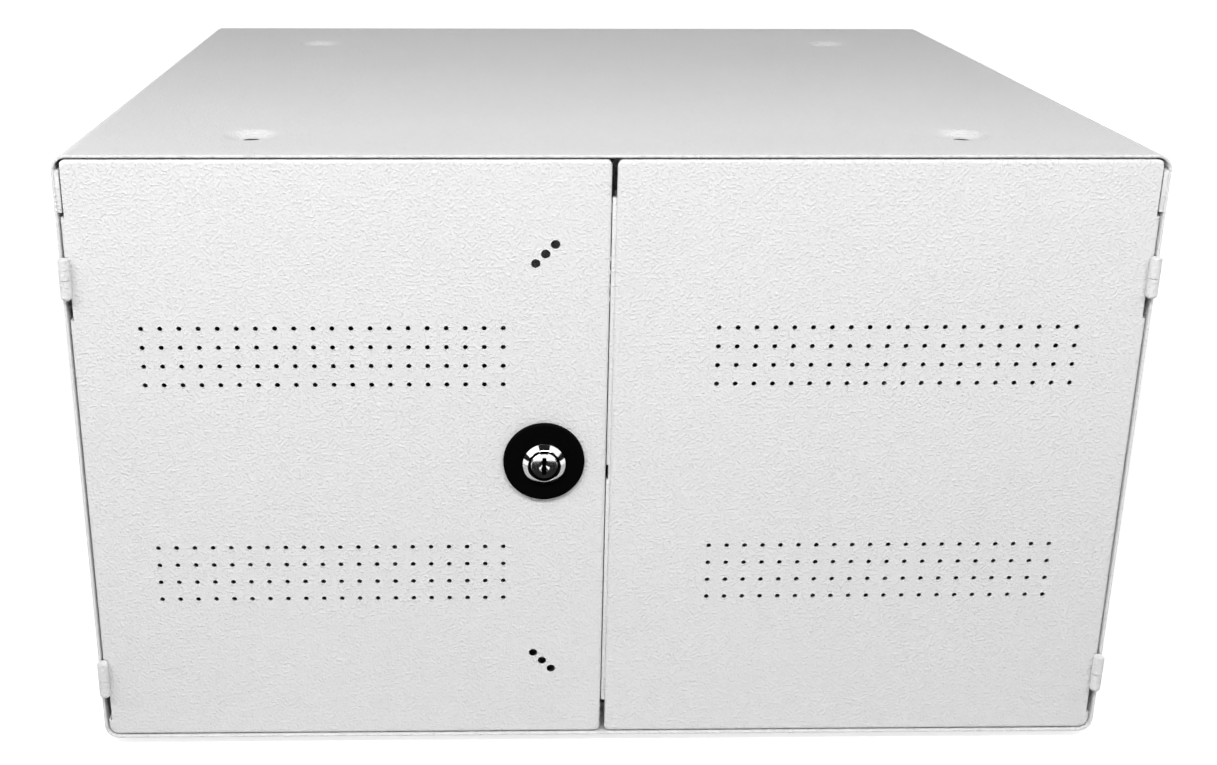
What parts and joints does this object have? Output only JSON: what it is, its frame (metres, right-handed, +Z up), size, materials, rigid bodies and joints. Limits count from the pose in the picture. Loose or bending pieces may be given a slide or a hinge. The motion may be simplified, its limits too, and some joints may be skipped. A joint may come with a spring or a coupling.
{
  "type": "charging cabinet",
  "caption": "Sheet steel charging cabinet with two inset perforated doors, cam lock, lift-off hinges, device dividers and a power strip inside.",
  "frame": {"origin": "on the standing surface, under the middle of the whole object's box", "axes": "+Z up, doors face -Y, +X to the right as seen from the front"},
  "size_m": [0.572, 0.5114, 0.346],
  "materials": {
    "white_paint": "white powder coat with a fine orange-peel texture",
    "zinc_steel": "zinc plated",
    "bright_steel": "ground",
    "foot_rubber": "matt moulded",
    "chrome": "polished",
    "black_plastic": "matt moulded",
    "anodised_aluminium": "satin anodised",
    "switch_plastic": "gloss moulded",
    "button_plastic": "gloss moulded"
  },
  "bodies": {
    "cabinet": {"shell": "white_paint", "front_frame": "white_paint", "rear_frame": "white_paint", "rear_panel": "white_paint", "rear_panel_screws": "zinc_steel", "rubber_feet": "foot_rubber", "foot_screws": "zinc_steel", "foot_nuts": "zinc_steel", "hinge_base_left_upper": "white_paint", "hinge_base_left_lower": "white_paint", "hinge_base_right_upper": "white_paint", "hinge_base_right_lower": "white_paint", "hinge_pin_left_upper": "bright_steel", "hinge_pin_left_lower": "bright_steel", "hinge_pin_right_upper": "bright_steel", "hinge_pin_right_lower": "bright_steel", "lift_stop_left": "white_paint", "lift_stop_right": "white_paint", "front_floor_rail": "white_paint", "rear_floor_rail": "white_paint", "divider_1": "white_paint", "divider_2": "white_paint", "divider_3": "white_paint", "divider_4": "white_paint", "divider_5": "white_paint", "divider_6": "white_paint", "divider_7": "white_paint", "divider_8": "white_paint", "divider_9": "white_paint", "charger_partition": "white_paint", "power_strip_housing": "anodised_aluminium", "power_strip_end_caps": "black_plastic", "power_strip_brackets": "zinc_steel", "power_strip_screws": "zinc_steel", "power_strip_outlets": "black_plastic", "switch_frame": "black_plastic", "button_collar": "black_plastic", "mains_inlet": "black_plastic", "inlet_blades": "bright_steel", "inlet_screws": "zinc_steel"},
    "left_door": {"left_door_panel": "white_paint", "hinge_knuckle_left_upper": "white_paint", "hinge_knuckle_left_lower": "white_paint", "lock_escutcheon": "black_plastic", "lock_housing": "chrome", "lock_nut": "zinc_steel"},
    "lock_core": {"lock_plug": "chrome", "lock_cam": "zinc_steel", "cam_screw": "zinc_steel"},
    "right_door": {"right_door_panel": "white_paint", "hinge_knuckle_right_upper": "white_paint", "hinge_knuckle_right_lower": "white_paint", "closing_strip": "white_paint", "top_bolt_guide": "zinc_steel", "bottom_bolt_guide": "zinc_steel"},
    "top_bolt": {"top_bolt": "zinc_steel"},
    "bottom_bolt": {"bottom_bolt": "zinc_steel"},
    "rocker": {"switch_rocker": "switch_plastic"},
    "button": {"reset_button": "button_plastic"}
  },
  "joints": [
    {"name": "left_door_swing", "type": "hinge", "parent": "cabinet", "child": "left_door", "pos_m": [-0.283, -0.25045, 0.176], "axis": [0, 0, -1], "range_deg": [0, 180]},
    {"name": "right_door_swing", "type": "hinge", "parent": "cabinet", "child": "right_door", "pos_m": [0.283, -0.25045, 0.176], "axis": [0, 0, 1], "range_deg": [0, 180]},
    {"name": "lock_turn", "type": "hinge", "parent": "left_door", "child": "lock_core", "pos_m": [-0.035, -0.24735, 0.1783], "axis": [0, -1, 0], "range_deg": [0, 90]},
    {"name": "top_bolt_slide", "type": "slide", "parent": "right_door", "child": "top_bolt", "axis": [0, 0, 1], "range_m": [0, 0.008]},
    {"name": "bottom_bolt_slide", "type": "slide", "parent": "right_door", "child": "bottom_bolt", "axis": [0, 0, -1], "range_m": [0, 0.008]},
    {"name": "switch_rock", "type": "hinge", "parent": "cabinet", "child": "rocker", "pos_m": [0.188, 0.20915, 0.267], "axis": [-1, 0, 0], "range_deg": [0, 14]},
    {"name": "reset_press", "type": "slide", "parent": "cabinet", "child": "button", "axis": [0, 1, 0], "range_m": [0, 0.002], "stiffness_N_per_m": 400}
  ]
}
